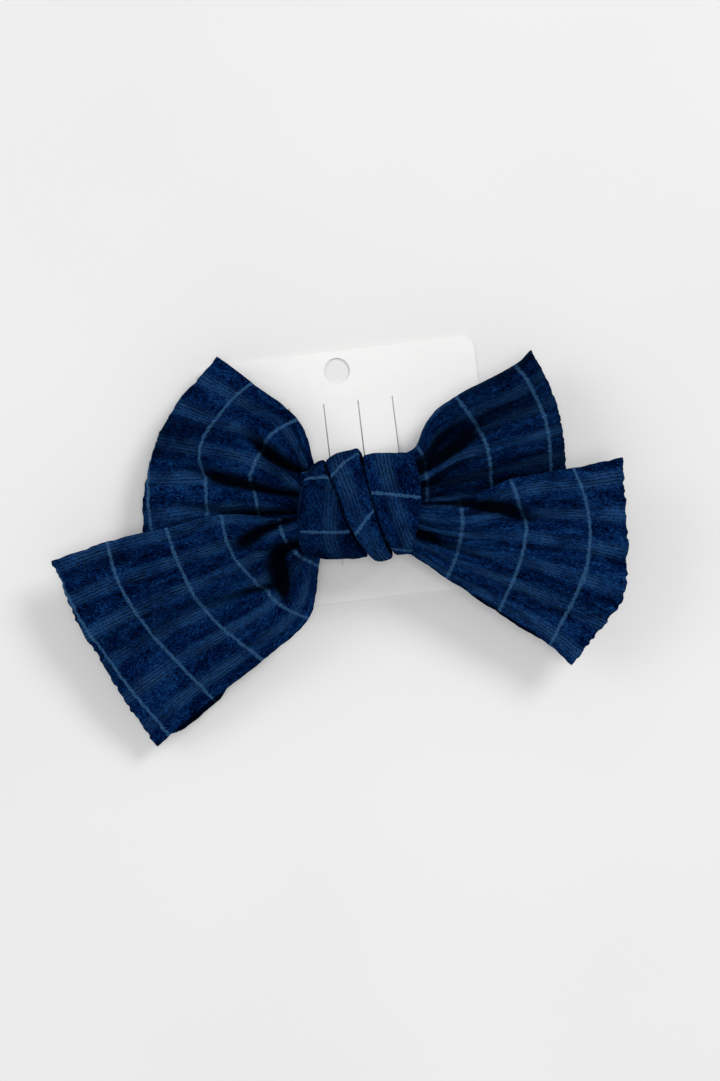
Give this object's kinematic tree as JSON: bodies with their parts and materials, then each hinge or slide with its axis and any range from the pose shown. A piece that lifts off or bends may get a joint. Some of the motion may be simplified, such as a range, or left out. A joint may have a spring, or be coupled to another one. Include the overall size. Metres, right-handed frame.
{
  "type": "hair bow",
  "caption": "Hair bow of folded check cloth with loops, tails and a wrapped knot, on a sprung steel alligator clip threaded on a slit display card.",
  "frame": {"origin": "middle of the whole part's footprint, on the plane the card's back rests on", "axes": "+Z out of the bow's front, +X along the clip towards its thumb levers, +Y up the card towards its hang hole"},
  "size_m": [0.1736, 0.116, 0.0309],
  "materials": {
    "cloth": "crinkled seersucker crepe with lighter check lines",
    "thread": "twisted sewing thread",
    "glue": "set hot glue",
    "lining": "ribbed grosgrain ribbon",
    "steel": "stamped, nickel plated",
    "pin_steel": "polished",
    "spring_steel": "drawn wire",
    "card": "smooth white card stock"
  },
  "bodies": {
    "clip_base": {"clip_lower_arm": "steel", "clip_hinge_pin": "pin_steel", "clip_spring": "spring_steel"},
    "bow": {"clip_upper_arm": "steel", "clip_lining": "lining", "glue_pad": "glue", "waist_core": "cloth", "cinch_thread": "thread", "knot_left_turn": "cloth", "knot_cross_turn": "cloth", "knot_right_turn": "cloth", "upper_left_loop": "cloth", "upper_right_loop": "cloth", "lower_left_tail": "cloth", "lower_right_tail": "cloth"},
    "card": {"display_card": "card"}
  },
  "joints": [
    {"name": "clip_hinge", "type": "hinge", "parent": "clip_base", "child": "bow", "pos_m": [0.0262, 0.00785, 0.006], "axis": [0, 1, 0], "range_deg": [0, 18], "stiffness_Nm_per_rad": 0.08, "springref_deg": -28.65, "deforming": ["clip_spring"]},
    {"name": "card_slide", "type": "slide", "parent": "clip_base", "child": "card", "axis": [-1, 0, 0], "range_m": [0, 0.06]}
  ]
}
